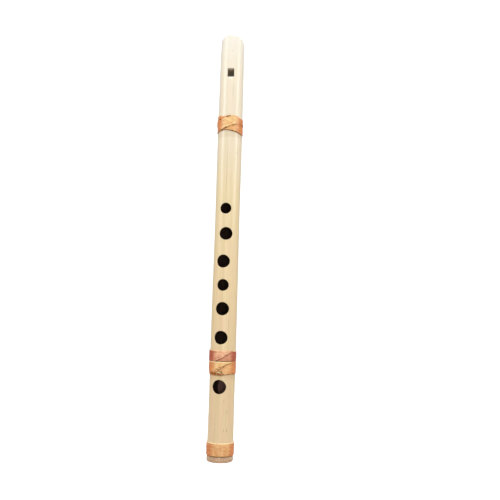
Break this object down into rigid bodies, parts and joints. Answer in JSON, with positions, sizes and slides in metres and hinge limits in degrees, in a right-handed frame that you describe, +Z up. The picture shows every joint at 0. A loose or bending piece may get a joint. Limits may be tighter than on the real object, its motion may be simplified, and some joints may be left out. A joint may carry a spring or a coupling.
{
  "type": "bamboo flute",
  "caption": "Upright bamboo duct flute: slanted mouth end with block and window, a row of tone holes, natural strip bindings and an open foot.",
  "frame": {"origin": "centre of the foot's end face, on the bore's axis", "axes": "+Z up the tube from the foot to the mouth end, -Y to the front where the window and tone holes are, +X to the right of someone facing the front"},
  "size_m": [0.027, 0.0278, 0.4207],
  "materials": {
    "bamboo": "smooth natural bamboo skin, satin",
    "block_wood": "fine sanded hardwood",
    "orange_strip": "split cane peel, satin",
    "red_strip": "split cane peel, satin"
  },
  "bodies": {
    "root": {"bamboo_tube": "bamboo", "fipple_block": "block_wood", "upper_binding": "orange_strip", "middle_binding_red": "red_strip", "middle_binding_orange": "orange_strip", "foot_binding": "orange_strip"}
  },
  "joints": []
}
